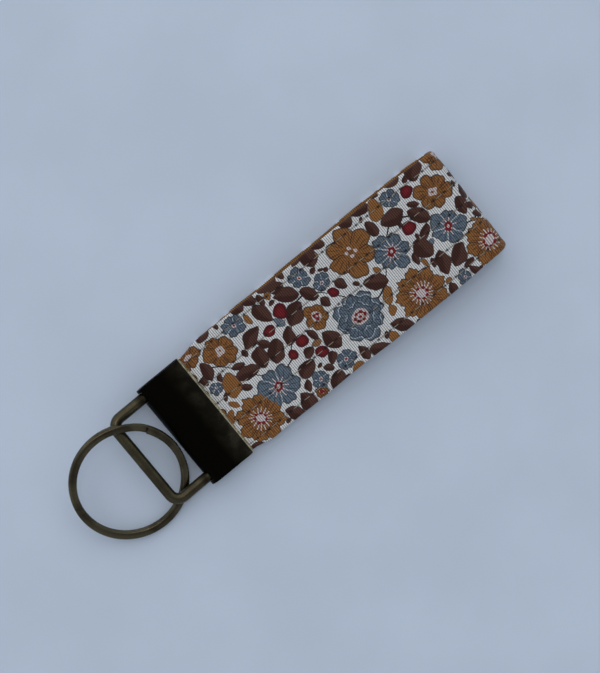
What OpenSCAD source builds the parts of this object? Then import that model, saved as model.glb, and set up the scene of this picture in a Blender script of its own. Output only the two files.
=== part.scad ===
// Fabric key fob: a printed cotton strap folded into a short loop, crimped in a sheet metal clamp.
// A wire bail is captive in the clamp's rolled spine and carries a two-turn split ring.
// +X runs along the strap, +Z is up. The origin is the middle of the clamp's underside.

/* [Clamp] */
// Width of the clamp across the strap
clamp_w = 25.4; // [20:0.1:32]
// Length of the clamp along the strap
clamp_l = 11.4; // [9:0.1:14]
// Thickness over both jaws
clamp_t = 5.4; // [5:0.1:6]
// Thickness of the sheet
sheet_t = 1.0; // [0.8:0.1:1.1]
// Height of the slots that the bail's arms leave through
slot_h = 3.8; // [3:0.1:4.2]
// Distance between teeth along each lip
tooth_pitch = 1.6; // [1.2:0.1:2.5]

/* [Bail] */
// Diameter of the bail's wire
bail_wire = 2.4; // [2:0.1:2.6]
// Width over the bail's arms
bail_w = 23.8; // [22:0.1:24]
// Distance from the clamp's spine to the middle of the outer bar, seen from above
bail_reach = 8.25; // [7:0.05:12]
// Bend radius of the outer corners, to the middle of the wire
bail_bend = 2.2; // [1.5:0.1:4]
// How far the bail is lifted where the ring props it up
bail_lift = 8.3; // [0:0.1:15]

/* [Split ring] */
// Outside diameter
ring_d = 25.4; // [24:0.1:28]
// Width of the flattened wire, across the ring
ring_wire_w = 1.7; // [1.4:0.1:2.2]
// Height of the two turns together
ring_h = 1.8; // [1.6:0.1:2.2]
// Distance from the clamp's spine to the ring's centre
ring_reach = 13.0; // [12.8:0.05:13.5]
// How far the ring's centre lies to the side
ring_side = -0.95; // [-1.5:0.05:0]
// Tilt of the ring, which passes over one side of the bail and under the other
ring_tilt = 14.25; // [12:0.05:17]
// Direction of the ring's raised side
ring_tilt_dir = 88; // [80:1:95]
// Place of the wire's outer end round the ring
ring_end_dir = 33; // [0:1:360]

/* [Strap] */
// Width of the strap
strap_w = 26.3; // [20:0.1:30]
// how far inside the clamp's ends the held strap stays
held_inset = 0.25; // [0:0.05:1]
// distance beyond the mouth over which the strap widens again
flare_l = 5; // [2:0.5:10]
// Length of the loop beyond the clamp
strap_l = 69.6; // [60:0.1:110]
// Thickness of the printed cotton
cover_t = 0.5; // [0.3:0.05:0.6]
// Thickness of the mustard backing
backing_t = 0.4; // [0.3:0.05:0.5]
// Thickness of the stiffening between them
interfacing_t = 0.78; // [0.6:0.02:0.78]
// Height of the loop where it is widest
loop_h = 8.0; // [7:0.1:12]
// Length of the round end of the fold
fold_l = 3.4; // [3.2:0.1:5]
// Turned-in hem along each long edge
hem_w = 1.5; // [1:0.1:3]

/* [Stitching] */
// Distances of the stitch rows from the strap's +Y edge
row_offsets = [2.2, 8.5, 13.0, 18.5, 24.1];
// Width of a thread
thread_w = 0.35; // [0.2:0.05:0.5]
// Depth that a thread is sunk into the cloth
thread_t = 0.2; // [0.1:0.05:0.3]

/* [Hidden] */
$fn = 96;

// Clamp
spine_x = -clamp_l / 2;
mouth_x = clamp_l / 2;
spine_r = clamp_t / 2;
jaw_gap = clamp_t - 2 * sheet_t;
axis_x = spine_x + spine_r;
axis_z = clamp_t / 2;
mouth_round = 0.9;
lip_l = 0.5;
lip_h = 0.3;
tooth_h = 0.6;
corner_round = 0.9;
slot_side_gap = 0.1;

// Bail
bail_r = bail_wire / 2;
arm_y = bail_w / 2 - bail_r;
bail_l = (bail_reach + spine_r) / cos(bail_lift);

// Split ring
ring_r = ring_d / 2 - ring_wire_w / 2;
turn_gap = 0.04;
turn_h = (ring_h - turn_gap) / 2;
level = (turn_h + turn_gap) / 2;
turn_round = 0.3;
ramp_angle = 26;
ramp_margin = 2;
ring_step = 6;
floor_gap = 0.02;
ring_x = spine_x - ring_reach;
ring_z = (ring_d / 2 - turn_round) * sin(ring_tilt) + (ring_h / 2 - turn_round) * cos(ring_tilt)
    + turn_round + floor_gap;

// Strap
layer_t = cover_t + interfacing_t + backing_t;
strap_in = axis_x + bail_r + 0.65;
strap_end = mouth_x + strap_l;
end_clear = 0.05;
jaw_low = sheet_t + layer_t / 2;
jaw_high = clamp_t - sheet_t - layer_t / 2;
floor_mid = layer_t / 2;
crest_mid = loop_h - layer_t / 2;
drop_l = 7;
rise_l = 50;
fold_x = strap_end - fold_l;
fold_a = fold_l - layer_t / 2;
fold_b = (crest_mid - floor_mid) / 2;
run_steps = 24;
fold_steps = 16;

// A smooth step from 0 to 1
function ease(t) = let (c = max(0, min(1, t))) c * c * (3 - 2 * c);

// Height of the middle of the lower and the upper run at a place along the strap
function low_mid(x) = jaw_low + (floor_mid - jaw_low) * ease((x - mouth_x) / drop_l);
function high_mid(x) = jaw_high + (crest_mid - jaw_high) * ease((x - mouth_x) / rise_l);

// Places along each run: close together where it bends, then wider apart
function run_places() = concat(
    [strap_in, mouth_x],
    [for (i = [1:8]) mouth_x + drop_l * i / 8],
    [for (i = [1:run_steps]) mouth_x + drop_l + (fold_x - mouth_x - drop_l) * i / run_steps]
);

// The strap's middle line: out along the floor, round the fold, and back over the top
function strap_path() = let (xs = run_places(), n = len(xs)) concat(
    [for (x = xs) [x, low_mid(x)]],
    [for (i = [1:fold_steps - 1]) let (a = -90 + 180 * i / fold_steps)
        [fold_x + fold_a * cos(a), floor_mid + fold_b + fold_b * sin(a)]],
    [for (i = [0:n - 1]) let (x = xs[n - 1 - i]) [x, high_mid(x)]]
);

path = strap_path();
last = len(path) - 1;

// The outward direction at a point of the path: down, then towards the end, then up
function outward(i) = let (
        a = path[max(0, i - 1)],
        b = path[min(last, i + 1)],
        d = (i <= 1 || i >= last - 1) ? (i < 2 ? [1, 0] : [-1, 0]) : (b - a) / norm(b - a)
    ) [d[1], -d[0]];

// The side view of a layer, between two distances outward from the middle line
function layer_outline(inner, outer) = concat(
    [for (i = [0:last]) path[i] + outer * outward(i)],
    [for (i = [0:last]) path[last - i] + inner * outward(last - i)]
);

outer_face = layer_t / 2;
inner_face = -layer_t / 2;

// A layer of the strap, w wide and centred on y
module layer(inner, outer, w, y = 0) {
    translate([0, y + w / 2, 0])
        rotate([90, 0, 0])
            linear_extrude(w)
                polygon(layer_outline(inner, outer));
}

// Side view of the folded sheet, with its mouth edges rounded over and turned in
module clamp_outline() {
    difference() {
        union() {
            translate([axis_x, axis_z]) circle(r = spine_r);
            translate([axis_x, 0]) square([mouth_x - axis_x, clamp_t]);
        }
        translate([axis_x, axis_z]) circle(r = jaw_gap / 2);
        translate([axis_x, sheet_t]) square([clamp_l, jaw_gap]);
        for (side = [0, 1])
            translate([0, side * clamp_t])
                mirror([0, side])
                    difference() {
                        translate([mouth_x - mouth_round, -1]) square([mouth_round + 1, mouth_round + 1]);
                        translate([mouth_x - mouth_round, mouth_round]) circle(r = mouth_round);
                    }
    }
    for (side = [0, 1])
        translate([mouth_x - lip_l, side == 0 ? sheet_t - lip_h : clamp_t - sheet_t - lip_h])
            square([lip_l, 2 * lip_h]);
}

// The teeth of one lip, pointing up from the lower jaw
module teeth() {
    count = floor((clamp_w - 2) / tooth_pitch);
    for (i = [0:count])
        translate([mouth_x - lip_l, (i - count / 2) * tooth_pitch, sheet_t + lip_h / 2])
            rotate([90, 0, 90])
                linear_extrude(lip_l)
                    polygon([[-0.5, 0], [0.5, 0], [0, tooth_h]]);
}

module clamp_shell() {
    color([0.16, 0.14, 0.11])
    union() {
        difference() {
            translate([0, clamp_w / 2, 0])
                rotate([90, 0, 0])
                    linear_extrude(clamp_w)
                        clamp_outline();
            // slots for the bail's arms
            for (side = [-1, 1])
                translate([spine_x - 1, side * arm_y - bail_r - slot_side_gap, axis_z - slot_h / 2])
                    cube([spine_r + 1, bail_wire + 2 * slot_side_gap, slot_h]);
            // rounded corners at the mouth, seen from above
            for (side = [0, 1])
                mirror([0, side, 0])
                    translate([mouth_x - corner_round, clamp_w / 2 - corner_round, -1])
                        linear_extrude(clamp_t + 2)
                            difference() {
                                square(corner_round + 1);
                                circle(r = corner_round);
                            }
        }
        teeth();
        translate([0, 0, clamp_t]) mirror([0, 0, 1]) teeth();
    }
}

// A straight length of the bail's wire, starting at from
module wire(from, along, l) {
    translate(from) rotate(along) cylinder(h = l, r = bail_r);
}

module bail() {
    color([0.45, 0.40, 0.24])
    translate([axis_x, 0, axis_z])
        rotate([0, bail_lift, 0])
            union() {
                wire([-bail_l, bail_bend - arm_y, 0], [-90, 0, 0], 2 * (arm_y - bail_bend));
                wire([0, -arm_y, 0], [-90, 0, 0], 2 * arm_y);
                for (side = [-1, 1]) {
                    wire([0, side * arm_y, 0], [0, -90, 0], bail_l - bail_bend);
                    translate([0, side * arm_y, 0]) sphere(r = bail_r);
                    translate([bail_bend - bail_l, side * (arm_y - bail_bend), 0])
                        rotate([0, 0, side > 0 ? 90 : 180])
                            rotate_extrude(angle = 90)
                                translate([bail_bend, 0]) circle(r = bail_r);
                }
            }
}

// Section of the ring's flattened wire, with rounded corners: [across, up]
function wire_section() = let (
        w = ring_wire_w / 2 - turn_round,
        h = turn_h / 2 - turn_round,
        corners = [[w, h, 0], [-w, h, 90], [-w, -h, 180], [w, -h, 270]]
    ) [for (c = corners) for (a = [0, 45, 90])
        [c[0] + turn_round * cos(c[2] + a), c[1] + turn_round * sin(c[2] + a)]];

// Height of the coil's middle line: the lower turn, the ramp, then the upper turn
function coil_level(a, ramp_start) = -level + 2 * level * ease((a - ramp_start) / ramp_angle);

module coil() {
    first = ring_end_dir + ramp_margin + ramp_angle + ramp_margin;
    ramp_start = ring_end_dir + ramp_margin + 360;
    final = ring_end_dir + 720;
    count = ceil((final - first) / ring_step);
    section = wire_section();
    n = len(section);
    points = [for (i = [0:count]) let (a = first + (final - first) * i / count, z = coil_level(a, ramp_start))
        for (s = section) [(ring_r + s[0]) * cos(a), (ring_r + s[0]) * sin(a), z + s[1]]];
    sides = [for (i = [0:count - 1]) for (k = [0:n - 1])
        let (a = i * n + k, b = i * n + (k + 1) % n)
        each [[a, b, b + n], [a, b + n, a + n]]];
    start_cap = [[for (k = [0:n - 1]) n - 1 - k]];
    end_cap = [[for (k = [0:n - 1]) count * n + k]];
    polyhedron(points = points, faces = concat(sides, start_cap, end_cap), convexity = 8);
}

module split_ring() {
    color([0.50, 0.43, 0.28])
    translate([ring_x, ring_side, ring_z])
        rotate([0, 0, ring_tilt_dir])
            rotate([0, -ring_tilt, 0])
                rotate([0, 0, -ring_tilt_dir])
                    coil();
}

// The strap seen from above: gathered in where the clamp holds it, full width further out
module strap_plan() {
    held = clamp_w / 2 - held_inset;
    half = strap_w / 2;
    translate([0, 0, -1])
        linear_extrude(loop_h + 2)
            polygon([
                [spine_x, -held], [mouth_x, -held], [mouth_x + flare_l, -half], [strap_end + 1, -half],
                [strap_end + 1, half], [mouth_x + flare_l, half], [mouth_x, held], [spine_x, held]
            ]);
}

module print_cover() {
    color([0.86, 0.80, 0.68])
    intersection() {
        union() {
            layer(outer_face - cover_t, outer_face, strap_w);
            for (side = [-1, 1])
                layer(outer_face - cover_t - interfacing_t, outer_face, hem_w, side * (strap_w - hem_w) / 2);
        }
        strap_plan();
    }
}

module interfacing() {
    color([0.93, 0.92, 0.88])
    layer(inner_face + backing_t, outer_face - cover_t, strap_w - 2 * hem_w);
}

module backing_strip() {
    color([0.80, 0.55, 0.15])
    intersection() {
        layer(inner_face, inner_face + backing_t, strap_w);
        strap_plan();
    }
}

function row_y(row) = strap_w / 2 - row_offsets[row - 1];

module needle_thread(row) {
    color([0.93, 0.88, 0.76])
    layer(outer_face - thread_t, outer_face, thread_w, row_y(row));
}

module bobbin_thread(row) {
    color([0.85, 0.68, 0.35])
    layer(inner_face, inner_face + thread_t, thread_w, row_y(row));
}

clamp_shell();
bail();
split_ring();
print_cover();
interfacing();
backing_strip();
needle_thread(1);  // stitch_row_1_needle_thread
needle_thread(2);  // stitch_row_2_needle_thread
needle_thread(3);  // stitch_row_3_needle_thread
needle_thread(4);  // stitch_row_4_needle_thread
needle_thread(5);  // stitch_row_5_needle_thread
bobbin_thread(1);  // stitch_row_1_bobbin_thread
bobbin_thread(2);  // stitch_row_2_bobbin_thread
bobbin_thread(3);  // stitch_row_3_bobbin_thread
bobbin_thread(4);  // stitch_row_4_bobbin_thread
bobbin_thread(5);  // stitch_row_5_bobbin_thread
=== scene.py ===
import math
import random

import bmesh
import bpy
import numpy as np
from mathutils import Matrix, Vector


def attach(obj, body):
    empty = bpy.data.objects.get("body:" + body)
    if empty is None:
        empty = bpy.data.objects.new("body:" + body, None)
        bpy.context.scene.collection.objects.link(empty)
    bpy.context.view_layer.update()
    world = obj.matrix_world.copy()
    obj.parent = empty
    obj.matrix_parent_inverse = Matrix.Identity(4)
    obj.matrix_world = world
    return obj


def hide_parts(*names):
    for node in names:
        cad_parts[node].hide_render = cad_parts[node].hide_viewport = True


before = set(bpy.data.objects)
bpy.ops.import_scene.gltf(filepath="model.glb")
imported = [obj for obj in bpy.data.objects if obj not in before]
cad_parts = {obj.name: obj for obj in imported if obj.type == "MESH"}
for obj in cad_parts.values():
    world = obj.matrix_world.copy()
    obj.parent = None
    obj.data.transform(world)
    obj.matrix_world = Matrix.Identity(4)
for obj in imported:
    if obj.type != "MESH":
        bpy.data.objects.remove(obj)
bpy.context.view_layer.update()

# Sizes are in millimetres. X runs along the strap, Z is up, and z = 0 is the floor.

clampSize = {
    "length": 11.4,
    "width": 25.4,
    "thickness": 5.4,
    "sheet": 1.0,
    "edgeRound": 0.22,
}
spineX = -clampSize["length"] / 2
mouthX = clampSize["length"] / 2
axisX = spineX + clampSize["thickness"] / 2
axisZ = clampSize["thickness"] / 2


def ease(t):
    c = np.clip(t, 0.0, 1.0)
    return c * c * (3 - 2 * c)


# helpers for pieces
def finishPiece(bm, name, body, nodes, material, smoothAngle=40.0):
    # millimetres to metres, then an object at the origin that rides on its body
    bmesh.ops.scale(bm, vec=(0.001, 0.001, 0.001), verts=bm.verts)
    mesh = bpy.data.meshes.new(name)
    bm.to_mesh(mesh)
    bm.free()
    mesh.shade_smooth()
    mesh.set_sharp_from_angle(angle=math.radians(smoothAngle))
    mesh.materials.append(material)
    piece = bpy.data.objects.new(name, mesh)
    bpy.context.scene.collection.objects.link(piece)
    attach(piece, body)
    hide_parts(*nodes)
    return piece


def extrudeLoop(bm, edges, move):
    # carries an open loop of edges along a straight line
    made = bmesh.ops.extrude_edge_only(bm, edges=edges)["geom"]
    bmesh.ops.translate(bm, vec=move, verts=[g for g in made if isinstance(g, bmesh.types.BMVert)])
    return [g for g in made if isinstance(g, bmesh.types.BMEdge)]


def bendLoop(bm, edges, centre, axis, degrees, steps, rise=0.0):
    # carries an open loop of edges round a bend
    loopVerts = list({v for e in edges for v in e.verts})
    made = bmesh.ops.spin(
        bm, geom=loopVerts + list(edges), cent=centre, axis=axis, angle=math.radians(degrees),
        steps=steps, dvec=(0, 0, rise / steps), use_merge=False, use_duplicate=False,
    )["geom_last"]
    return [g for g in made if isinstance(g, bmesh.types.BMEdge)]


# helpers for materials
def newMaterial(name):
    material = bpy.data.materials.new(name)
    material.use_nodes = True
    tree = material.node_tree
    return material, tree, tree.nodes["Principled BSDF"]


def put(tree, socket, value):
    if isinstance(value, bpy.types.NodeSocket):
        tree.links.new(value, socket)
    elif isinstance(value, (tuple, list)) and len(value) == 3 and socket.type == "RGBA":
        socket.default_value = (*value, 1.0)
    else:
        socket.default_value = value


def calc(tree, operation, a, b=0.0, c=0.0):
    node = tree.nodes.new("ShaderNodeMath")
    node.operation = operation
    put(tree, node.inputs[0], a)
    put(tree, node.inputs[1], b)
    put(tree, node.inputs[2], c)
    return node.outputs[0]


def mixColour(tree, factor, a, b, blend="MIX"):
    node = tree.nodes.new("ShaderNodeMix")
    node.data_type = "RGBA"
    node.blend_type = blend
    put(tree, node.inputs["Factor"], factor)
    put(tree, node.inputs[6], a)
    put(tree, node.inputs[7], b)
    return node.outputs[2]


def remap(tree, value, low, high, toLow=0.0, toHigh=1.0):
    # a smooth step: toLow at or below low, toHigh at or above high
    node = tree.nodes.new("ShaderNodeMapRange")
    node.interpolation_type = "SMOOTHSTEP"
    put(tree, node.inputs["Value"], value)
    node.inputs["From Min"].default_value = low
    node.inputs["From Max"].default_value = high
    node.inputs["To Min"].default_value = toLow
    node.inputs["To Max"].default_value = toHigh
    return node.outputs["Result"]


def inside(tree, distance, soft=0.04):
    # 1 where a signed distance is below zero
    return remap(tree, distance, -soft, soft, 1.0, 0.0)


def onLine(tree, distance, halfWidth, soft=0.05):
    # 1 on the line where a signed distance is zero
    return remap(tree, calc(tree, "ABSOLUTE", distance), halfWidth, halfWidth + soft, 1.0, 0.0)


def field(tree, name):
    node = tree.nodes.new("ShaderNodeAttribute")
    node.attribute_name = name
    return node.outputs["Fac"]


def place(tree):
    node = tree.nodes.new("ShaderNodeTexCoord")
    return node.outputs["Object"]


def noise(tree, scale, detail=3.0, rough=0.5):
    node = tree.nodes.new("ShaderNodeTexNoise")
    node.inputs["Scale"].default_value = scale
    node.inputs["Detail"].default_value = detail
    node.inputs["Roughness"].default_value = rough
    put(tree, node.inputs["Vector"], place(tree))
    return node.outputs["Fac"]


def axes(tree, vector):
    node = tree.nodes.new("ShaderNodeSeparateXYZ")
    put(tree, node.inputs[0], vector)
    return node.outputs


def bump(tree, shader, height, distance, strength=1.0):
    node = tree.nodes.new("ShaderNodeBump")
    node.inputs["Strength"].default_value = strength
    node.inputs["Distance"].default_value = distance
    put(tree, node.inputs["Height"], height)
    put(tree, shader.inputs["Normal"], node.outputs["Normal"])


# metals
metalGrain = {"cloudScale": 420, "speckScale": 2600, "depth": 0.00005, "metallic": 0.97}


def antiqueMetal(name, finish, wearAndLightMask):
    # bare metal showing through a dark patina where the mask says; for the clamp the mask also
    # paints a highlight on the lip, and for the bail a shade near the clamp
    material, tree, shader = newMaterial(name)
    cloud = noise(tree, metalGrain["cloudScale"], 5, 0.6)
    speck = noise(tree, metalGrain["speckScale"], 3, 0.6)
    share = finish["patinaShare"]
    bareShare = remap(tree, cloud, share - 0.12, share + 0.16)
    bareShare = calc(tree, "MULTIPLY", bareShare, 0.55)
    bareShare = calc(tree, "MAXIMUM", bareShare, wearAndLightMask(tree))
    bareShare = calc(tree, "MULTIPLY", bareShare, remap(tree, speck, 0.3, 0.62, 0.72, 1.0))
    colour = mixColour(tree, bareShare, finish["patina"], finish["bare"])
    put(tree, shader.inputs["Base Color"], colour)
    shader.inputs["Metallic"].default_value = metalGrain["metallic"]
    shader.inputs["Specular IOR Level"].default_value = 0.3
    rough = finish["roughness"]
    put(tree, shader.inputs["Roughness"], remap(tree, bareShare, 0.0, 1.0, rough + 0.14, rough))
    grain = calc(tree, "MULTIPLY_ADD", cloud, 0.6, calc(tree, "MULTIPLY", speck, 0.25))
    bump(tree, shader, grain, metalGrain["depth"], 0.5)
    return material


clampFinish = {
    # bright bare brass, which is also the colour of the painted highlight along the mouth lip
    "bare": (0.80, 0.72, 0.50),
    "patina": (0.0034, 0.0028, 0.0016),
    "patinaShare": 0.86,
    "roughness": 0.36,
}


def clampWearAndLipHighlight(tree):
    # rubbed bright along the mouth lip, partly real wear and partly a painted highlight on the
    # lip's rounded edge, and faintly browner towards it
    p = axes(tree, place(tree))
    lip = remap(tree, p[0], (mouthX - 0.55) / 1000, (mouthX - 0.3) / 1000)
    lip = calc(tree, "MULTIPLY", lip, remap(tree, noise(tree, 900, 3), 0.3, 0.6, 0.55, 1.0))
    warm = remap(tree, p[0], (spineX + 6.0) / 1000, mouthX / 1000, 0.0, 0.045)
    warm = calc(tree, "MULTIPLY", warm, remap(tree, noise(tree, 300, 4), 0.35, 0.65, 0.4, 1.3))
    warm = calc(tree, "MULTIPLY", warm, remap(tree, p[1], -0.012, 0.013, 1.2, 0.55))
    return calc(tree, "MAXIMUM", lip, warm)


clampMetal = antiqueMetal("clampMetal", clampFinish, clampWearAndLipHighlight)

bailSize = {
    "wire": 2.4,
    "width": 23.8,
    "reach": 8.25,
    "bend": 2.2,
    "innerBend": 1.25,
    "lift": 8.3,
    "barSteps": 12,
}
bailFinish = {
    "bare": (0.125, 0.104, 0.062),
    "patina": (0.018, 0.015, 0.009),
    "patinaShare": 0.55,
    "roughness": 0.24,
}


def bailWearAndShade(tree):
    # painted shade: darker towards the clamp, where the arms run into its shadow; elsewhere worn at
    # random
    x = axes(tree, place(tree))[0]
    near = remap(tree, x, (spineX - 2.0) / 1000, (spineX - 0.2) / 1000, 0.75, 0.05)
    return calc(tree, "MULTIPLY", near, remap(tree, noise(tree, 240, 3), 0.3, 0.65, 0.55, 1.0))


bailMetal = antiqueMetal("bailMetal", bailFinish, bailWearAndShade)

ringSize = {
    "diameter": 25.4,
    "wireWidth": 1.7,
    "height": 1.8,
    "turnGap": 0.04,
    "cornerRound": 0.3,
    "sideCurve": 0.9,
    "faceCurve": 0.85,
    "steps": 180,
    "reach": 13.0,
    "side": -0.95,
    "tilt": 14.25,
    "tiltTowards": 88.0,
    "wireEnd": 33.0,
    "ramp": 26.0,
    "margin": 2.0,
    "floorGap": 0.02,
}
ringFinish = {
    "bare": (0.135, 0.112, 0.070),
    "patina": (0.014, 0.0115, 0.008),
    "patinaShare": 0.5,
    "roughness": 0.17,
}


def ringWear(tree):
    return remap(tree, noise(tree, 160, 2), 0.3, 0.6, 0.3, 0.9)


ringMetal = antiqueMetal("ringMetal", ringFinish, ringWear)
print("metals ready")


# clamp: the frame's shape, merged, with its sharp edges eased
def makeClamp():
    bm = bmesh.new()
    bm.from_mesh(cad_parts["clamp_shell"].data)
    bmesh.ops.scale(bm, vec=(1000, 1000, 1000), verts=bm.verts)
    bmesh.ops.remove_doubles(bm, verts=bm.verts, dist=0.002)
    bmesh.ops.dissolve_limit(
        bm, angle_limit=math.radians(1.0), use_dissolve_boundaries=False, verts=bm.verts,
        edges=bm.edges, delimit=set(),
    )
    bmesh.ops.recalc_face_normals(bm, faces=bm.faces)
    piece = finishPiece(bm, "clampFold", "fob", ["clamp_shell"], clampMetal, 35)
    eased = piece.modifiers.new("easedEdges", "BEVEL")
    eased.width = clampSize["edgeRound"] / 1000
    eased.segments = 3
    eased.limit_method = "ANGLE"
    eased.angle_limit = math.radians(35)
    eased.harden_normals = False


makeClamp()
print("clamp ready")


# bail: round wire bent to a closed rectangle
def makeBail():
    bm = bmesh.new()
    wireRadius = bailSize["wire"] / 2
    armY = bailSize["width"] / 2 - wireRadius
    lift = math.radians(bailSize["lift"])
    length = (bailSize["reach"] + clampSize["thickness"] / 2) / math.cos(lift)
    bend = bailSize["bend"]
    innerBend = bailSize["innerBend"]
    made = bmesh.ops.create_circle(bm, cap_ends=False, segments=20, radius=wireRadius)["verts"]
    upright = Matrix.Rotation(math.radians(90), 3, "X")
    bmesh.ops.rotate(bm, cent=(0, 0, 0), matrix=upright, verts=made)
    bmesh.ops.translate(bm, vec=(0, innerBend - armY, 0), verts=made)
    edges = list({e for v in made for e in v.link_edges})
    barSteps = bailSize["barSteps"]
    for part in range(barSteps):
        edges = extrudeLoop(bm, edges, (0, 2 * (armY - innerBend) / barSteps, 0))
    edges = bendLoop(bm, edges, (-innerBend, armY - innerBend, 0), (0, 0, 1), 90, 8)
    edges = extrudeLoop(bm, edges, (bend + innerBend - length, 0, 0))
    edges = bendLoop(bm, edges, (bend - length, armY - bend, 0), (0, 0, 1), 90, 12)
    for part in range(barSteps):
        edges = extrudeLoop(bm, edges, (0, -2 * (armY - bend) / barSteps, 0))
    edges = bendLoop(bm, edges, (bend - length, bend - armY, 0), (0, 0, 1), 90, 12)
    edges = extrudeLoop(bm, edges, (length - bend - innerBend, 0, 0))
    bendLoop(bm, edges, (-innerBend, innerBend - armY, 0), (0, 0, 1), 90, 8)
    bmesh.ops.remove_doubles(bm, verts=bm.verts, dist=0.01)
    bmesh.ops.recalc_face_normals(bm, faces=bm.faces)
    raised = Matrix.Rotation(lift, 3, "Y")
    bmesh.ops.rotate(bm, cent=(0, 0, 0), matrix=raised, verts=bm.verts)
    bmesh.ops.translate(bm, vec=(axisX, 0, axisZ), verts=bm.verts)
    finishPiece(bm, "bailWire", "bail", ["bail"], bailMetal)


makeBail()
print("bail ready")


# split ring: two turns of flattened wire with a ramp between them
def makeRing():
    bm = bmesh.new()
    turnHeight = (ringSize["height"] - ringSize["turnGap"]) / 2
    level = (turnHeight + ringSize["turnGap"]) / 2
    middle = ringSize["diameter"] / 2 - ringSize["wireWidth"] / 2
    first = ringSize["wireEnd"] + ringSize["ramp"] + 2 * ringSize["margin"]
    rampStart = ringSize["wireEnd"] + ringSize["margin"] + 360
    lastAngle = ringSize["wireEnd"] + 720
    count = ringSize["steps"]
    step = (lastAngle - first) / count
    # the wire's section: drawn flat, with well rounded sides
    made = bmesh.ops.create_circle(bm, cap_ends=False, segments=20, radius=1)["verts"]
    for v in made:
        v.co.x = math.copysign(abs(v.co.x) ** ringSize["sideCurve"], v.co.x)
        v.co.y = math.copysign(abs(v.co.y) ** ringSize["faceCurve"], v.co.y)
    bmesh.ops.scale(bm, vec=(ringSize["wireWidth"] / 2, turnHeight / 2, 1), verts=made)
    upright = Matrix.Rotation(math.radians(90), 3, "X")
    bmesh.ops.rotate(bm, cent=(0, 0, 0), matrix=upright, verts=bm.verts)
    bmesh.ops.translate(bm, vec=(middle, 0, -level), verts=bm.verts)
    start = Matrix.Rotation(math.radians(first), 3, "Z")
    bmesh.ops.rotate(bm, cent=(0, 0, 0), matrix=start, verts=bm.verts)
    edges = bm.edges[:]
    height = 0.0
    for i in range(count):
        after = 2 * level * float(ease((first + (i + 1) * step - rampStart) / ringSize["ramp"]))
        edges = bendLoop(bm, edges, (0, 0, 0), (0, 0, 1), step, 1, after - height)
        height = after
    bmesh.ops.remove_doubles(bm, verts=bm.verts, dist=0.0005)
    bmesh.ops.holes_fill(bm, edges=[e for e in bm.edges if e.is_boundary], sides=0)
    bmesh.ops.recalc_face_normals(bm, faces=bm.faces)
    tilt = math.radians(ringSize["tilt"])
    towards = math.radians(ringSize["tiltTowards"])
    lean = Matrix.Rotation(-tilt, 3, "Y")
    turn = Matrix.Rotation(towards, 3, "Z") @ lean @ Matrix.Rotation(-towards, 3, "Z")
    bmesh.ops.rotate(bm, cent=(0, 0, 0), matrix=turn, verts=bm.verts)
    corner = ringSize["cornerRound"]
    ringZ = (
        (ringSize["diameter"] / 2 - corner) * math.sin(tilt)
        + (ringSize["height"] / 2 - corner) * math.cos(tilt) + corner + ringSize["floorGap"]
    )
    middleAt = (spineX - ringSize["reach"], ringSize["side"], ringZ)
    bmesh.ops.translate(bm, vec=middleAt, verts=bm.verts)
    finishPiece(bm, "splitRingWire", "split_ring", ["split_ring"], ringMetal)


makeRing()
print("split ring ready")

# strap: the middle line of the folded band, seen from the side
strapSize = {
    "width": 26.3,
    "length": 69.6,
    "cover": 0.5,
    "interfacing": 0.78,
    "backing": 0.4,
    "hem": 1.5,
    "loopHeight": 8.0,
    "foldLength": 3.4,
    "dropLength": 7.0,
    "riseLength": 50.0,
    "gather": 0.8,
    "gatherFrom": 10.9,
    "flareLength": 5.5,
    "sideShift": 0.34,
    "cornerPull": 0.38,
    "cornerWidth": 1.2,
    "edgeWander": (0.10, 0.06),
}
strapMesh = {
    "coverColumns": 92,
    "coverSteps": (0.25, 0.28),
    "backingColumns": 40,
    "backingSteps": (0.7, 0.7),
    "interfacingColumns": 24,
    "interfacingSteps": (1.0, 1.0),
}
layerSum = strapSize["cover"] + strapSize["interfacing"] + strapSize["backing"]
outerFace = layerSum / 2
innerFace = -layerSum / 2
strapStart = axisX + bailSize["wire"] / 2 + 0.65
strapEnd = mouthX + strapSize["length"]
foldX = strapEnd - strapSize["foldLength"]
foldReach = strapSize["foldLength"] - layerSum / 2
lowJaw = clampSize["sheet"] + layerSum / 2
highJaw = clampSize["thickness"] - lowJaw
lowFloor = layerSum / 2
highCrest = strapSize["loopHeight"] - layerSum / 2
foldRise = (highCrest - lowFloor) / 2


def strapLine():
    # out along the floor, round the fold, and back over the top
    x = np.linspace(strapStart, foldX, 700)
    low = lowJaw + (lowFloor - lowJaw) * ease((x - mouthX) / strapSize["dropLength"])
    high = highJaw + (highCrest - highJaw) * ease((x - mouthX) / strapSize["riseLength"])
    turn = np.radians(np.linspace(-90, 90, 121)[1:-1])
    xs = np.concatenate([x, foldX + foldReach * np.cos(turn), x[::-1]])
    zs = np.concatenate([low, lowFloor + foldRise + foldRise * np.sin(turn), high[::-1]])
    travelled = np.concatenate([[0], np.cumsum(np.hypot(np.diff(xs), np.diff(zs)))])
    return xs, zs, travelled


lineX, lineZ, lineS = strapLine()
strapTotal = float(lineS[-1])
foldMiddle = strapTotal / 2
tangentX = np.gradient(lineX, lineS)
tangentZ = np.gradient(lineZ, lineS)
tangentSize = np.hypot(tangentX, tangentZ)
outwardX = tangentZ / tangentSize
outwardZ = -tangentX / tangentSize

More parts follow.
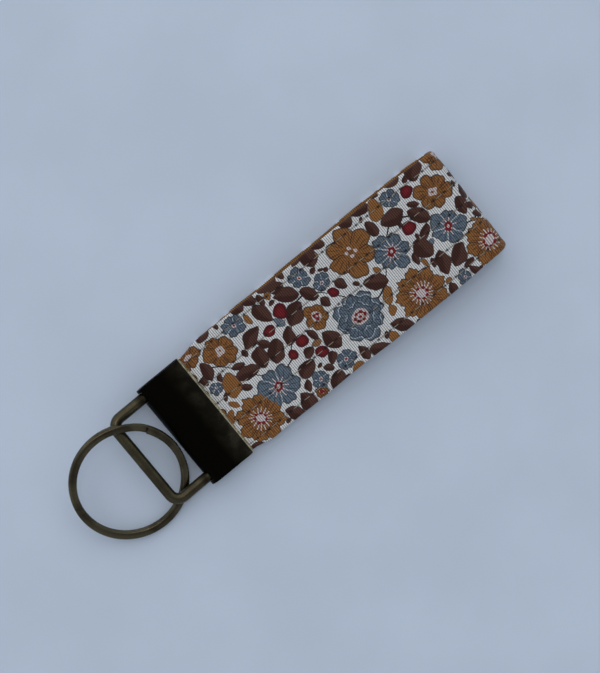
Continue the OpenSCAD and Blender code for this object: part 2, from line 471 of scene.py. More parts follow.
stitching = {
    "fromEdge": [2.2, 8.5, 13.0, 18.5, 24.1],
    "pitch": 3.0,
    "length": 2.45,
    "thread": 0.19,
    "flatness": 0.8,
    "stagger": 0.31,
    "tuck": 0.22,
    "dip": 0.15,
    "dipWidth": 0.75,
    "holeDip": 0.09,
    "holeWidth": 0.3,
    "wander": 0.12,
}
clothUneven = {"ripple": 0.035, "pinch": 0.3, "pinchWidth": 0.9}
rowPlaces = [strapSize["width"] / 2 - d for d in stitching["fromEdge"]]


def rowY(row, s):
    # a sewn row wanders a little from side to side
    return rowPlaces[row] + stitching["wander"] * np.sin(s / (9.0 + row) + 1.7 * row)


def clothDip(s, y):
    # how far the cloth is drawn in by its stitches, by the clamp's bite and by its own ripples
    drop = np.zeros_like(s)
    for row in range(len(rowPlaces)):
        near = (y - rowY(row, s)) / stitching["dipWidth"]
        phase = np.cos(2 * np.pi * (s / stitching["pitch"] + stitching["stagger"] * row))
        drop += stitching["dip"] * (0.75 + 0.25 * phase) * np.exp(-near * near)
        hole = (y - rowY(row, s)) / stitching["holeWidth"]
        drop += stitching["holeDip"] * np.clip(phase, 0, 1) ** 6 * np.exp(-hole * hole)
    ripple = np.sin(s * 1.3 + 2.0 * np.sin(y * 0.5)) * np.sin(y * 0.9 + s * 0.21)
    drop += clothUneven["ripple"] * (1 + ripple)
    x = np.interp(s, lineS, lineX)
    pinch = np.exp(-((x - mouthX + 0.2) / clothUneven["pinchWidth"]) ** 2)
    return drop + clothUneven["pinch"] * pinch


def strapShape(s, y, n):
    # a point of the strap: along its line, across it, and outward from its middle
    x = np.interp(s, lineS, lineX)
    z = np.interp(s, lineS, lineZ)
    nx = np.interp(s, lineS, outwardX)
    nz = np.interp(s, lineS, outwardZ)
    size = np.hypot(nx, nz)
    # the lower run lies a little to one side
    low = 1 - ease((s - foldMiddle + 7) / 7)
    shift = strapSize["sideShift"] * low * ease((x - mouthX - 12) / 5)
    shift = shift * ease((strapEnd - 1 - x) / 6)
    # the fold's corners are soft
    half = strapSize["width"] / 2
    corner = strapSize["cornerWidth"]
    cornerness = np.clip((np.abs(y) - half + corner) / corner, 0, 1)
    pull = strapSize["cornerPull"] * cornerness ** 2 * ease((x - foldX + 1.0) / 3.0)
    # the clamp gathers the long edges in
    flare = ease((x - mouthX) / strapSize["flareLength"])
    outer = np.clip((np.abs(y) - strapSize["gatherFrom"]) / (half - strapSize["gatherFrom"]), 0, 1)
    gathered = y - np.sign(y) * strapSize["gather"] * outer * (1 - flare)
    slow, quick = strapSize["edgeWander"]
    edge = (slow * np.sin(s / 7.0) + quick * np.sin(s / 2.9 + 1.0)) * flare
    side = gathered + shift + edge * (y / half)
    return x + n * nx / size - pull, side, z + n * nz / size


def stationsAlong(topStep, lowStep):
    # places along the strap, closer together where they are looked at most
    lowCount = int((foldMiddle - 6) / lowStep)
    topCount = int((strapTotal - foldMiddle + 6) / topStep)
    low = np.linspace(0, foldMiddle - 6, lowCount, endpoint=False)
    return np.concatenate([low, np.linspace(foldMiddle - 6, strapTotal, topCount)])


def sweepOutline(name, outline, stations, node, material):
    # a closed outline (across, outward, dipShare) carried along the strap's line
    columns = len(outline)
    rows = len(stations) - 1
    bm = bmesh.new()
    acrossLayer = bm.verts.layers.float.new("across")
    alongLayer = bm.verts.layers.float.new("along")
    sideLayer = bm.verts.layers.float.new("fromMiddle")
    made = bmesh.ops.create_grid(bm, x_segments=columns, y_segments=rows, size=0.5)["verts"]
    onGrid = np.array([v.co[:2] for v in made])
    column = np.rint((onGrid[:, 0] + 0.5) * columns).astype(int) % columns
    row = np.rint((onGrid[:, 1] + 0.5) * rows).astype(int)
    shape = np.array(outline)
    s = np.array(stations)[row]
    y = shape[column, 0]
    n = shape[column, 1] - shape[column, 2] * clothDip(s, y)
    px, py, pz = strapShape(s, y, n)
    across = np.concatenate([[0], np.cumsum(np.hypot(*np.diff(shape[:, :2], axis=0).T))])
    for i, v in enumerate(made):
        v.co = (px[i], py[i], pz[i])
        v[acrossLayer] = across[column[i]]
        v[alongLayer] = s[i]
        v[sideLayer] = y[i]
    bmesh.ops.remove_doubles(bm, verts=bm.verts, dist=0.0004)
    bmesh.ops.holes_fill(bm, edges=[e for e in bm.edges if e.is_boundary], sides=0)
    bmesh.ops.recalc_face_normals(bm, faces=bm.faces)
    return finishPiece(bm, name, "fob", [node], material, 60)


def arc(centreY, centreN, radiusY, radiusN, fromDegrees, toDegrees, count, dip):
    angles = np.radians(np.linspace(fromDegrees, toDegrees, count))
    return [(centreY + radiusY * math.cos(a), centreN + radiusN * math.sin(a), dip) for a in angles]


def coverOutline(columns):
    # outer face, round one edge to the hem, back along the inside, and round the other edge
    half = strapSize["width"] / 2
    hemFace = innerFace + strapSize["backing"]
    inFace = outerFace - strapSize["cover"]
    turn = (outerFace - hemFace) / 2
    flat = half - turn
    outer = [(y, outerFace, 1.0) for y in np.linspace(-flat, flat, columns)]
    right = arc(flat, outerFace - turn, turn, turn, 90, -90, 9, 0.4)[1:]
    hemEnd = half - strapSize["hem"]
    inner = [(hemEnd, hemFace, 0), (hemEnd, inFace, 0.6), (0, inFace, 0.6), (-hemEnd, inFace, 0.6)]
    inner.append((-hemEnd, hemFace, 0))
    left = arc(-flat, outerFace - turn, turn, turn, 270, 90, 9, 0.4)[:-1]
    return outer + right + inner + left


def bandOutline(half, low, high, lowDip, highDip, columns, rounding):
    top = [(y, high, highDip) for y in np.linspace(-half + rounding, half - rounding, columns)]
    middle = (low + high) / 2
    thick = (high - low) / 2
    right = arc(half - rounding, middle, rounding, thick, 90, -90, 5, 0)[1:-1]
    bottom = [(y, low, lowDip) for y in np.linspace(half - rounding, -half + rounding, columns)]
    left = arc(rounding - half, middle, rounding, thick, 270, 90, 5, 0)[1:-1]
    return top + right + bottom + left


# cloth materials
weave = {"pitchAcross": 0.42, "pitchAlong": 0.46, "depth": 0.00009}


def plainWeave(tree):
    # height of a plain weave, with slightly uneven threads
    wobble = calc(tree, "MULTIPLY", noise(tree, 700, 2), 0.5)
    warp = calc(tree, "MULTIPLY", field(tree, "across"), math.pi / weave["pitchAcross"])
    weft = calc(tree, "MULTIPLY", field(tree, "along"), math.pi / weave["pitchAlong"])
    warpWave = calc(tree, "SINE", calc(tree, "ADD", warp, wobble))
    weftWave = calc(tree, "SINE", calc(tree, "ADD", weft, wobble))
    checker = calc(tree, "MULTIPLY", warpWave, weftWave)
    ribs = calc(tree, "ABSOLUTE", weftWave)
    cross = calc(tree, "ABSOLUTE", warpWave)
    height = calc(tree, "MULTIPLY_ADD", checker, 0.12, calc(tree, "MULTIPLY", ribs, 0.72))
    return calc(tree, "MULTIPLY_ADD", cross, 0.24, height)


def clothFinish(tree, shader, colour, weaveHeight, sheen, tint):
    # painted shade and highlight: darker in the hollows of the weave, lighter on the thread tops
    shade = remap(tree, weaveHeight, 0.1, 0.85, 0.24, 1.3)
    colour = mixColour(tree, 1.0, colour, combine(tree, shade), "MULTIPLY")
    blotch = remap(tree, noise(tree, 130, 3), 0.3, 0.7, 0.955, 1.03)
    colour = mixColour(tree, 1.0, colour, combine(tree, blotch), "MULTIPLY")
    put(tree, shader.inputs["Base Color"], colour)
    shader.inputs["Roughness"].default_value = 0.86
    shader.inputs["Specular IOR Level"].default_value = 0.25
    shader.inputs["Sheen Weight"].default_value = sheen
    shader.inputs["Sheen Roughness"].default_value = 0.45
    shader.inputs["Sheen Tint"].default_value = (*tint, 1.0)
    bump(tree, shader, weaveHeight, weave["depth"], 0.9)


def combine(tree, value):
    node = tree.nodes.new("ShaderNodeCombineColor")
    for i in range(3):
        put(tree, node.inputs[i], value)
    return node.outputs[0]


printColours = {
    "ground": (0.70, 0.685, 0.675),
    "ochre": (0.285, 0.118, 0.034),
    "ochreDeep": (0.12, 0.042, 0.016),
    "blue": (0.135, 0.170, 0.212),
    "blueDeep": (0.045, 0.063, 0.090),
    "pale": (0.60, 0.50, 0.49),
    "paleBlue": (0.48, 0.54, 0.60),
    "leaf": (0.052, 0.017, 0.012),
    "leafLight": (0.088, 0.035, 0.025),
    "berry": (0.20, 0.012, 0.015),
    "berryDeep": (0.085, 0.007, 0.011),
    "ink": (0.017, 0.011, 0.011),
}


def makePrintCloth():
    material, tree, shader = newMaterial("printCotton")
    pc = printColours
    isBlue = remap(tree, field(tree, "blueShare"), 0.45, 0.55)
    streak = remap(tree, field(tree, "streak"), 0.35, 0.95)
    ochre = mixColour(tree, calc(tree, "MULTIPLY", streak, 0.62), pc["ochre"], pc["ochreDeep"])
    blue = mixColour(tree, calc(tree, "MULTIPLY", streak, 0.62), pc["blue"], pc["blueDeep"])
    petals = mixColour(tree, isBlue, ochre, blue)
    edgeTone = mixColour(tree, isBlue, pc["ochreDeep"], pc["blueDeep"])
    leafBlue = remap(tree, field(tree, "leafTone"), 0.80, 0.84)
    leafOchre = remap(tree, field(tree, "leafTone"), 0.90, 0.94)
    lightHalf = inside(tree, field(tree, "leafVein"), 0.3)
    leafTone = mixColour(tree, lightHalf, pc["leaf"], pc["leafLight"])
    leafTone = mixColour(tree, leafBlue, leafTone, pc["blue"])
    leafTone = mixColour(tree, leafOchre, leafTone, pc["ochre"])
    colour = pc["ground"]
    colour = mixColour(tree, onLine(tree, field(tree, "stem"), 0.09), colour, pc["ink"])
    colour = mixColour(tree, inside(tree, field(tree, "leaves")), colour, leafTone)
    berryDark = remap(tree, field(tree, "berries"), -1.1, -0.1)
    berryTone = mixColour(tree, berryDark, pc["berry"], pc["berryDeep"])
    colour = mixColour(tree, inside(tree, field(tree, "berries")), colour, berryTone)
    inBlossom = inside(tree, field(tree, "blossoms"))
    colour = mixColour(tree, inBlossom, colour, petals)
    # darker rims, the second ring of petals, and the slits between petals
    rim = calc(tree, "MULTIPLY", remap(tree, field(tree, "blossoms"), -0.55, 0.0), inBlossom)
    colour = mixColour(tree, calc(tree, "MULTIPLY", rim, 0.55), colour, edgeTone)
    stroke = onLine(tree, field(tree, "stroke"), 0.06, 0.12)
    stroke = calc(tree, "MULTIPLY", stroke, inside(tree, field(tree, "strokeZone"), 0.3))
    colour = mixColour(tree, calc(tree, "MULTIPLY", stroke, 0.8), colour, edgeTone)
    second = calc(tree, "MULTIPLY", onLine(tree, field(tree, "innerPetals"), 0.1), inBlossom)
    colour = mixColour(tree, calc(tree, "MULTIPLY", second, 0.9), colour, edgeTone)
    lit = onLine(tree, calc(tree, "SUBTRACT", field(tree, "innerPetals"), 0.3), 0.07, 0.12)
    colour = mixColour(tree, calc(tree, "MULTIPLY", lit, 0.7), colour, pc["paleBlue"])
    slit = calc(tree, "MULTIPLY", onLine(tree, field(tree, "petalSplit"), 0.07), inBlossom)
    isPale = remap(tree, field(tree, "paleSlit"), 0.4, 0.6)
    slitTone = mixColour(tree, isPale, pc["ink"], pc["paleBlue"])
    colour = mixColour(tree, calc(tree, "MULTIPLY", slit, 0.8), colour, slitTone)
    ray = onLine(tree, field(tree, "raySplit"), 0.07)
    ray = calc(tree, "MULTIPLY", ray, inside(tree, field(tree, "rayZone")))
    colour = mixColour(tree, calc(tree, "MULTIPLY", ray, inBlossom), colour, pc["pale"])
    colour = mixColour(tree, inside(tree, field(tree, "hearts")), colour, pc["pale"])
    colour = mixColour(tree, inside(tree, field(tree, "stamens")), colour, pc["berry"])
    ink = onLine(tree, field(tree, "blossoms"), 0.05, 0.08)
    ink = calc(tree, "MAXIMUM", ink, onLine(tree, field(tree, "leaves"), 0.02, 0.08))
    ink = calc(tree, "MULTIPLY", ink, 0.8)
    colour = mixColour(tree, ink, colour, pc["ink"])
    # painted shade: the furrow of each sewn row and its needle holes, darkened in the ink colour
    furrow = remap(tree, field(tree, "seam"), 0.08, 0.3, 0.42, 0.0)
    holes = remap(tree, field(tree, "needleHole"), 0.15, 0.42, 0.92, 0.0)
    colour = mixColour(tree, calc(tree, "MAXIMUM", furrow, holes), colour, pc["ink"])
    clothFinish(tree, shader, colour, plainWeave(tree), 0.12, (0.9, 0.9, 0.88))
    return material


def makePlainCloth(name, colour, darker):
    material, tree, shader = newMaterial(name)
    base = mixColour(tree, remap(tree, noise(tree, 260, 4), 0.35, 0.65), colour, darker)
    clothFinish(tree, shader, base, plainWeave(tree), plainSheen, colour)
    return material


plainColours = {
    "backing": ((0.33, 0.16, 0.045), (0.25, 0.115, 0.03)),
    "interfacing": ((0.74, 0.73, 0.69), (0.66, 0.65, 0.60)),
}
plainSheen = 0.1
printCloth = makePrintCloth()
backingCloth = makePlainCloth("backingCotton", *plainColours["backing"])
interfacingCloth = makePlainCloth("interfacingCloth", *plainColours["interfacing"])
print("cloth materials ready")

# the floral print, drawn as distances from its outlines
design = {
    "repeat": 76.0,
    # each blossom: along from the clamp, across from the middle, radius, petals
    "broadOchre": [
        (1.4, 11.6, 3.2, 5), (7.6, 8.2, 3.9, 5), (42.0, 7.2, 6.0, 6), (63.6, 6.2, 4.3, 6),
        (69.2, 12.0, 3.9, 5), (72.4, -2.0, 4.3, 6),
    ],
    "ruffledOchre": [(5.4, -8.2, 5.6, 8), (48.4, -9.0, 5.9, 9), (66.6, -9.4, 5.4, 8)],
    "smallOchre": [(28.0, 1.2, 3.0, 5), (19.0, -12.0, 1.6, 5)],
    "slitBlue": [(12.6, -5.4, 5.1, 6), (48.8, 1.8, 4.6, 6), (61.6, -1.6, 4.3, 5)],
    "rosetteBlue": [(35.2, -4.6, 6.4, 8)],
    "smallBlue": [
        (13.2, 10.6, 2.7, 5), (20.4, -9.8, 2.1, 5), (27.4, -10.0, 2.4, 5), (30.2, 10.0, 2.5, 5),
        (33.4, 6.2, 2.1, 5), (55.4, 10.6, 2.3, 5), (57.6, -12.0, 1.8, 5), (2.0, 2.6, 1.6, 5),
    ],
    "berries": [
        (18.4, 5.0), (22.8, 6.8), (19.2, -2.0), (22.4, -0.8), (24.4, -5.4), (34.0, 2.9),
        (59.2, 9.6), (54.8, 3.4), (71.6, 3.6),
    ],
    "berryRadius": 1.36,
    "leafLengths": (5.6, 1.3),
    "leafSizes": 84,
    "leafTries": 120,
    "leafGap": 0.17,
    "leafSide": 13.6,
    "leafPlump": (0.26, 0.36),
    "stemSwing": 5.2,
    "wavers": (0.16, 0.04),
    "seed": 11,
}
# a distance that is safely outside every outline
farAway = 9.0


def wrapped(distance):
    half = design["repeat"] / 2
    return (distance + half) % design["repeat"] - half


def leafList(blossoms):
    # leaves are strewn where there is room, the longest first
    dice = random.Random(design["seed"])
    taken = [(b[1], b[2], b[3] * 0.9) for b in blossoms]
    taken += [(b[0], b[1], design["berryRadius"]) for b in design["berries"]]
    leaves = []
    for length in np.linspace(*design["leafLengths"], design["leafSizes"]):
        for attempt in range(design["leafTries"]):
            u = dice.uniform(0, design["repeat"])
            y = dice.uniform(-design["leafSide"], design["leafSide"])
            turn = dice.uniform(0, math.pi)
            reach = 0.3 * length
            reachU = reach * math.cos(turn)
            reachY = reach * math.sin(turn)
            spots = [
                (u + k * reachU, y + k * reachY, (0.25 - 0.08 * abs(k)) * length)
                for k in (-1, 0, 1)
            ]
            room = all(
                math.hypot(wrapped(a - c), b - d) > r + e + design["leafGap"]
                for a, b, r in spots for c, d, e in taken
            )
            if room:
                tone = dice.random()
                plump = dice.uniform(*design["leafPlump"])
                leaves.append((u, y, length, turn, tone, plump))
                taken.extend(spots)
    return leaves


def dotRing(r, angle, count, ringRadius, dotRadius):
    return np.hypot(r - ringRadius, 2 * r * np.sin(count * angle / 2) / count) - dotRadius


def paint(fields, where, **values):
    for name, value in values.items():
        fields[name] = np.where(where, value, fields[name])


def petalOutline(kind, i, radius, petals, r, angle):
    if kind == "ruffledOchre":
        edge = 0.9 + 0.07 * np.cos(petals * angle) + 0.04 * np.cos(3 * petals * angle)
        return r - radius * edge
    # fold the angle so that every petal is the same drawing, then bend each a little
    sector = 2 * np.pi / petals
    which = np.rint(angle / sector)
    local = angle - which * sector
    size = radius * (0.95 + 0.07 * np.sin(2.3 * which + i))
    px = r * np.cos(local)
    py = r * np.sin(local)
    wide = 0.56 * size * math.tan(min(sector / 2, 0.62)) * 1.08 + 0.02 * size
    petal = (np.hypot((px - 0.56 * size) / (0.44 * size), py / wide) - 1) * wide
    notch = 0.16 * size * np.exp(-(py / (0.14 * size)) ** 2) * ease((px / size - 0.6) / 0.3)
    petal += (0.62 if "Blue" in kind else 0.4) * notch
    return np.minimum(petal, r - 0.42 * size)


def drawBlossom(fields, kind, i, radius, petals, r, angle):
    outline = petalOutline(kind, i, radius, petals, r, angle)
    closer = outline < fields["blossoms"]
    split = np.sin(petals * angle / 2 + np.pi / 2) * r * 2 / petals
    split = np.where((r > 0.3 * radius) & (r < 0.86 * radius), split, farAway)
    streak = 0.5 + 0.5 * np.cos(petals * 6 * angle + 3 * np.sin(r))
    streak = 0.55 * streak + 0.45 * (1 - np.clip(r / radius, 0, 1))
    paint(
        fields, closer, blossoms=outline, petalSplit=split, innerPetals=farAway, rayZone=farAway,
        streak=streak, hearts=r - 0.17 * radius, stamens=dotRing(r, angle, 5, 0.14 * radius, 0.33),
        blueShare=0.0, paleSlit=0.0, raySplit=np.sin(petals * angle) * r / petals,
        stroke=np.sin(petals * angle * 1.5 + 0.5 * np.sin(r)) * r / petals / 1.5,
        strokeZone=np.abs(r - 0.56 * radius) - (0.13 + 0.07 * np.cos(3 * petals * angle)) * radius,
    )
    if kind in ("ruffledOchre", "slitBlue"):
        paint(fields, closer, rayZone=np.abs(r - 0.30 * radius) - 0.14 * radius)
    if kind == "ruffledOchre":
        stamens = dotRing(r, angle, 7, 0.22 * radius, 0.34)
        paint(fields, closer, hearts=r - 0.19 * radius, stamens=stamens)
    if kind == "broadOchre":
        paint(fields, closer, hearts=dotRing(r, angle, 4, 0.17 * radius, 0.42), stamens=farAway)
    if kind == "smallOchre":
        stamens = dotRing(r, angle, 3, 0.2 * radius, 0.36)
        paint(fields, closer, hearts=r - 0.36 * radius, petalSplit=farAway, stamens=stamens)
    if "Blue" in kind:
        paint(fields, closer, blueShare=1.0, paleSlit=1.0)
    if kind == "rosetteBlue":
        second = r - radius * (0.60 + 0.12 * np.abs(np.cos(petals * angle / 2 + 0.8)))
        third = r - radius * (0.36 + 0.10 * np.abs(np.cos((petals - 2) * angle / 2)))
        stamens = np.minimum(dotRing(r, angle, 6, 0.17 * radius, 0.36), r - 0.34)
        split = np.where(r > 0.7 * radius, split, farAway)
        rings = np.where(r > 0.5 * radius, second, third)
        paint(fields, closer, innerPetals=rings, petalSplit=split)
        paint(fields, closer, hearts=r - 0.28 * radius, stamens=stamens)
    if kind == "smallBlue":
        paint(fields, closer, hearts=r - 0.2 * radius, stamens=r - 0.11 * radius)


def drawLeaf(fields, du, dy, length, turn, tone, plump):
    # a leaf is where two circles overlap
    a = du * math.cos(turn) + dy * math.sin(turn)
    b = dy * math.cos(turn) - du * math.sin(turn)
    half = length / 2
    bow = (half * half - (plump * length) ** 2) / (2 * plump * length)
    leaf = np.hypot(a, np.abs(b) + bow) - math.hypot(half, bow)
    closer = leaf < fields["leaves"]
    paint(fields, closer, leaves=leaf, leafVein=b + 0.15 * np.sin(a), leafTone=tone)


def drawSewing(fields, s, y):
    for row in range(len(rowPlaces)):
        turnAlong = (s / stitching["pitch"] + stitching["stagger"] * row + 0.5) % 1.0 - 0.5
        away = np.abs(y - rowY(row, s))
        hole = np.hypot(turnAlong * stitching["pitch"] * 0.8, away)
        fields["needleHole"] = np.minimum(fields["needleHole"], hole)
        fields["seam"] = np.minimum(fields["seam"], away)


def drawPrint(piece):
    mesh = piece.data
    count = len(mesh.vertices)
    s = np.zeros(count, np.float32)
    across = np.zeros(count, np.float32)
    mesh.attributes["along"].data.foreach_get("value", s)
    mesh.attributes["fromMiddle"].data.foreach_get("value", across)
    along = strapTotal - s - (mouthX - strapStart)
    # the drawing wavers a little, as a hand-cut block does
    wide, fine = design["wavers"]
    u = along + wide * np.sin(1.3 * across + 0.8 * along)
    u = u + fine * np.sin(3.4 * across - 1.9 * along)
    y = across + wide * np.sin(1.2 * along + 0.9 * across)
    y = y + fine * np.sin(3.1 * along - 2.3 * across)
    distances = [
        "blossoms", "petalSplit", "innerPetals", "hearts", "stamens", "raySplit", "rayZone",
        "stroke", "strokeZone", "leaves", "leafVein", "berries", "needleHole", "seam",
    ]
    shares = ["streak", "blueShare", "paleSlit", "leafTone"]
    fields = {name: np.full(count, farAway) for name in distances}
    fields.update({name: np.zeros(count) for name in shares})
    kinds = ("broadOchre", "ruffledOchre", "smallOchre", "slitBlue", "rosetteBlue", "smallBlue")
    blossoms = [(kind, *b) for kind in kinds for b in design[kind]]
    for i, (kind, bu, by, radius, petals) in enumerate(blossoms):
        du = wrapped(u - bu)
        dy = y - by
        drawBlossom(fields, kind, i, radius, petals, np.hypot(du, dy), np.arctan2(dy, du) + 0.9 * i)
    for i, (bu, by) in enumerate(design["berries"]):
        radius = design["berryRadius"] * (1 + 0.14 * math.sin(2.1 * i))
        berry = np.hypot(wrapped(u - bu), (y - by) * (1 + 0.1 * math.cos(3.0 * i))) - radius
        fields["berries"] = np.minimum(fields["berries"], berry)
    for lu, ly, length, turn, tone, plump in leafList(blossoms):
        drawLeaf(fields, wrapped(u - lu), y - ly, length, turn, tone, plump)
    swing = design["stemSwing"] * np.sin(u / design["repeat"] * 6 * np.pi + 0.9) + 1.5
    fields["stem"] = (y - swing) * 0.62
    drawSewing(fields, s, across)
    for name, values in fields.items():
        layer = mesh.attributes.new(name, "FLOAT", "POINT")
        layer.data.foreach_set("value", np.clip(values, -farAway, farAway).astype(np.float32))


coverPiece = sweepOutline(
    "printedCover", coverOutline(strapMesh["coverColumns"]),
    stationsAlong(*strapMesh["coverSteps"]), "print_cover", printCloth,
)
drawPrint(coverPiece)
print("printed cover ready")

clearance = 0.01
# how much of the stitches' dip the inner face of the backing takes
backingDip = 0.8
backingFaces = (innerFace + 0.04, innerFace + strapSize["backing"] - clearance)
backingHalf = strapSize["width"] / 2 - 0.06
backingOutline = bandOutline(
    backingHalf, *backingFaces, -backingDip, 0, strapMesh["backingColumns"], 0.2,
)
backingPiece = sweepOutline(
    "backingBand", backingOutline, stationsAlong(*strapMesh["backingSteps"]),
    "backing_strip", backingCloth,
)
hemInside = strapSize["width"] / 2 - strapSize["hem"]
interfacingFaces = (
    innerFace + strapSize["backing"] + clearance, outerFace - strapSize["cover"] - 2 * clearance,
)
interfacingHalf = hemInside - 0.03
interfacingOutline = bandOutline(
    interfacingHalf, *interfacingFaces, 0, 0.6, strapMesh["interfacingColumns"], 0.1,
)
interfacingPiece = sweepOutline(
    "interfacingBand", interfacingOutline, stationsAlong(*strapMesh["interfacingSteps"]),
    "interfacing", interfacingCloth,
)
print("backing and interfacing ready")


# stitches
threadTwist = {"along": 9000.0, "across": 15000.0, "depth": 0.00005}


def makeThread(name, colour, darker):
    material, tree, shader = newMaterial(name)
    p = axes(tree, place(tree))
    across = calc(tree, "MULTIPLY", p[1], threadTwist["across"])
    twist = calc(tree, "MULTIPLY_ADD", p[0], threadTwist["along"], across)
    strand = calc(tree, "ABSOLUTE", calc(tree, "SINE", twist))
    # painted shade: darker in the grooves between the twisted plies
    tone = mixColour(tree, remap(tree, strand, 0.0, 0.55), darker, colour)
    fleck = remap(tree, noise(tree, 1500, 2), 0.3, 0.7, 0.9, 1.05)
    tone = mixColour(tree, 1.0, tone, combine(tree, fleck), "MULTIPLY")
    put(tree, shader.inputs["Base Color"], tone)
    shader.inputs["Roughness"].default_value = 0.6
    shader.inputs["Sheen Weight"].default_value = 0.3
    shader.inputs["Sheen Roughness"].default_value = 0.4
    bump(tree, shader, strand, threadTwist["depth"], 0.7)
    return material


# each thread: its colour, and the painted shade in the grooves between its plies
threadColours = {
    "needle": ((0.36, 0.31, 0.24), (0.18, 0.14, 0.10)),
    "bobbin": ((0.42, 0.27, 0.10), (0.26, 0.15, 0.05)),
}
needleThread = makeThread("needleThread", *threadColours["needle"])
bobbinThread = makeThread("bobbinThread", *threadColours["bobbin"])


def makeStitchRow(row, outside):
    bm = bmesh.new()
    half = stitching["length"] / 2
    thick = stitching["thread"] / 2
    flat = stitching["flatness"]
    lengthwise = Matrix.Rotation(math.radians(90), 3, "Y")
    count = int((strapTotal - 5.0) / stitching["pitch"])
    for i in range(count):
        middle = (i + 0.5 - stitching["stagger"] * row) * stitching["pitch"] + stitching["pitch"]
        if middle + half > strapTotal - 0.6:
            continue
        made = bmesh.ops.create_uvsphere(bm, u_segments=8, v_segments=6, radius=1)["verts"]
        bmesh.ops.rotate(bm, cent=(0, 0, 0), matrix=lengthwise, verts=made)
        unit = np.array([v.co[:] for v in made])
        s = middle + half * unit[:, 0]
        y = rowY(row, s) + thick * unit[:, 1]
        if outside:
            face = outerFace - clothDip(s, rowY(row, s))
            face -= stitching["tuck"] * unit[:, 0] ** 4
            n = face + thick * flat * unit[:, 2]
        else:
            face = innerFace + backingDip * clothDip(s, rowY(row, s)) - thick * 0.35
            face += stitching["tuck"] * unit[:, 0] ** 4
            n = face - thick * flat * unit[:, 2]
        px, py, pz = strapShape(s, y, n)
        for v, x1, y1, z1 in zip(made, px, py, pz):
            v.co = (x1, y1, z1)
    bmesh.ops.recalc_face_normals(bm, faces=bm.faces)
    side = "needle" if outside else "bobbin"
    return finishPiece(
        bm, f"{side}Row{row + 1}", "fob", [f"stitch_row_{row + 1}_{side}_thread"],
        needleThread if outside else bobbinThread, 80,
    )


needlePieces = [makeStitchRow(row, True) for row in range(len(rowPlaces))]
bobbinPieces = [makeStitchRow(row, False) for row in range(len(rowPlaces))]
print("stitches ready")

# floor, lights and camera
studio = {
    "floor": (0.72, 0.80, 0.94),
    "sky": (0.84, 0.92, 1.0),
    "skyBright": 0.70,
    "skyDim": 0.42,
    "overhead": 0.42,
    "windowSide": (0.05, 0.95, 0.3),
    "keyPlace": (0.15, 0.75, 0.95),
    "keyPower": 2.3,
    "keySize": 1.6,
    "keyColour": (1.0, 0.98, 0.95),
    "glintPlace": (0.02, 0.24, 1.0),
    "glintPower": 0.6,
    "glintSize": 0.22,
    "glintColour": (1.0, 0.99, 0.97),
    "aimedAt": (0.03, 0, 0.003),
}


def makeFloor():
    bm = bmesh.new()
    bmesh.ops.create_grid(bm, x_segments=1, y_segments=1, size=0.9)
    mesh = bpy.data.meshes.new("floor")
    bm.to_mesh(mesh)
    bm.free()
    material, tree, shader = newMaterial("floorCloth")
    mottled = remap(tree, noise(tree, 30, 3), 0.3, 0.7, 0.97, 1.03)
    colour = mixColour(tree, 1.0, studio["floor"], combine(tree, mottled), "MULTIPLY")
    put(tree, shader.inputs["Base Color"], colour)
    shader.inputs["Roughness"].default_value = 0.9
    mesh.materials.append(material)
    floor = bpy.data.objects.new("floor", mesh)
    bpy.context.scene.collection.objects.link(floor)


def addLight(name):
    data = bpy.data.lights.new(name, "AREA")
    data.energy = studio[name + "Power"]
    data.size = studio[name + "Size"]
    data.color = studio[name + "Colour"]
    lamp = bpy.data.objects.new(name + "Light", data)
    bpy.context.scene.collection.objects.link(lamp)
    lamp.location = studio[name + "Place"]
    aim = Vector(studio["aimedAt"]) - Vector(studio[name + "Place"])
    lamp.rotation_euler = aim.to_track_quat("-Z", "Y").to_euler()


makeFloor()
addLight("key")
addLight("glint")


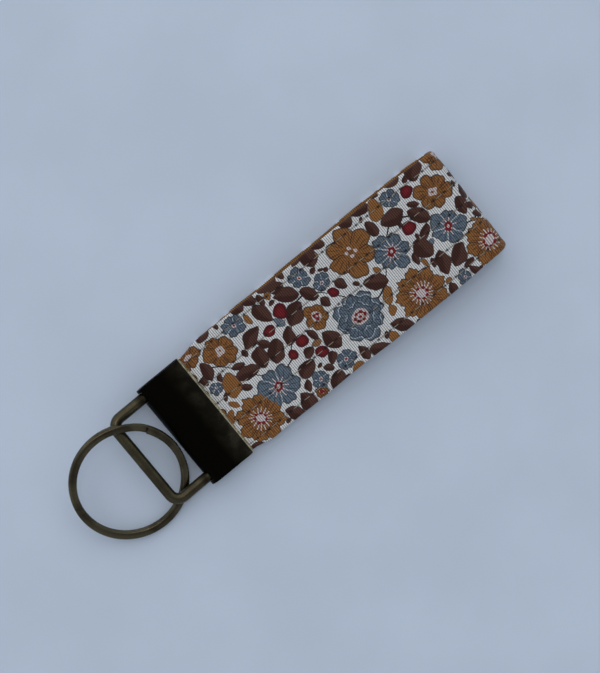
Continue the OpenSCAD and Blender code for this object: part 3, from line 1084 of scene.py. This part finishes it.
def makeSky():
    # a soft room: bright on the window side, dim opposite, and dim straight overhead
    world = bpy.data.worlds.new("studio")
    world.use_nodes = True
    tree = world.node_tree
    direction = tree.nodes.new("ShaderNodeTexCoord").outputs["Generated"]
    window = tree.nodes.new("ShaderNodeVectorMath")
    window.operation = "DOT_PRODUCT"
    put(tree, window.inputs[0], direction)
    window.inputs[1].default_value = studio["windowSide"]
    side = remap(tree, window.outputs["Value"], -0.7, 0.8, studio["skyDim"], studio["skyBright"])
    top = remap(tree, axes(tree, direction)[2], 0.72, 0.97, 1.0, studio["overhead"])
    background = tree.nodes["Background"]
    background.inputs["Color"].default_value = (*studio["sky"], 1.0)
    put(tree, background.inputs["Strength"], calc(tree, "MULTIPLY", side, top))
    bpy.context.scene.world = world
    bpy.context.scene.view_settings.view_transform = "Standard"


makeSky()

viewing = {
    "target": (28.45, -0.18, 3.0),
    "distance": 300.0,
    "turn": 39.6,
    "leanUp": 1.7,
    "leanRight": -5.7,
    "roll": 0.49,
    "lens": 75.5,
}


def makeCamera():
    turn = math.radians(viewing["turn"])
    right = Vector((math.cos(turn), -math.sin(turn), 0))
    up = Vector((math.sin(turn), math.cos(turn), 0))
    back = Vector((0, 0, 1))
    back += math.tan(math.radians(viewing["leanUp"])) * up
    back += math.tan(math.radians(viewing["leanRight"])) * right
    back.normalize()
    up = (up - back * up.dot(back)).normalized()
    right = up.cross(back)
    roll = math.radians(viewing["roll"])
    rolledRight = right * math.cos(roll) + up * math.sin(roll)
    rolledUp = up * math.cos(roll) - right * math.sin(roll)
    data = bpy.data.cameras.new("camera")
    data.lens = viewing["lens"]
    data.sensor_width = 36.0
    data.clip_start = 0.01
    camera = bpy.data.objects.new("camera", data)
    bpy.context.scene.collection.objects.link(camera)
    where = Vector(viewing["target"]) + back * viewing["distance"]
    pose = Matrix((rolledRight, rolledUp, back)).transposed().to_4x4()
    pose.translation = where / 1000
    camera.matrix_world = pose
    bpy.context.scene.camera = camera


makeCamera()
print("studio ready")
